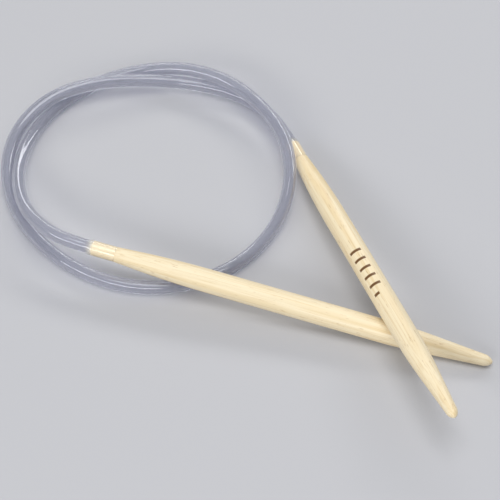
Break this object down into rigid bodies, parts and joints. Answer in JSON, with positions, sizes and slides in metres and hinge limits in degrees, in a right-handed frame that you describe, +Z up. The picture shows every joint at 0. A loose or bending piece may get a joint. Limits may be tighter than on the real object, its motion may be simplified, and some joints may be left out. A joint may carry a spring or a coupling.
{
  "type": "circular knitting needle",
  "caption": "Circular knitting needle: bamboo needle tips joined by a clear flexible tube, laid down in a loose loop.",
  "frame": {"origin": "on the surface the needle lies on, under the middle of the box around both bamboo needles", "axes": "+Z up from the surface; +X from needle A's back end towards its tip, as seen with needle B lying across it; +Y towards the tube's loop"},
  "size_m": [0.1151, 0.1157, 0.0129],
  "materials": {
    "bamboo": "smooth, lightly polished",
    "clear_pvc": "clear, glossy"
  },
  "bodies": {
    "tube": {"tube_loop": "clear_pvc"},
    "needle_a_end": {"needle_a": "bamboo", "tube_neck_a": "clear_pvc"},
    "needle_b_end": {"needle_b": "bamboo", "tube_neck_b": "clear_pvc"}
  },
  "joints": [
    {"name": "needle_a_swing", "type": "hinge", "parent": "tube", "child": "needle_a_end", "pos_m": [-0.05618, 0.01261, 0.00777], "axis": [0, 0, 1], "range_deg": [-60, 0], "stiffness_Nm_per_rad": 0.0015, "deforming": ["tube_neck_a"]},
    {"name": "needle_b_swing", "type": "hinge", "parent": "tube", "child": "needle_b_end", "pos_m": [-0.00402, 0.05511, 0.0016], "axis": [0, 0, 1], "range_deg": [0, 60], "stiffness_Nm_per_rad": 0.0015, "deforming": ["tube_neck_b"]}
  ]
}
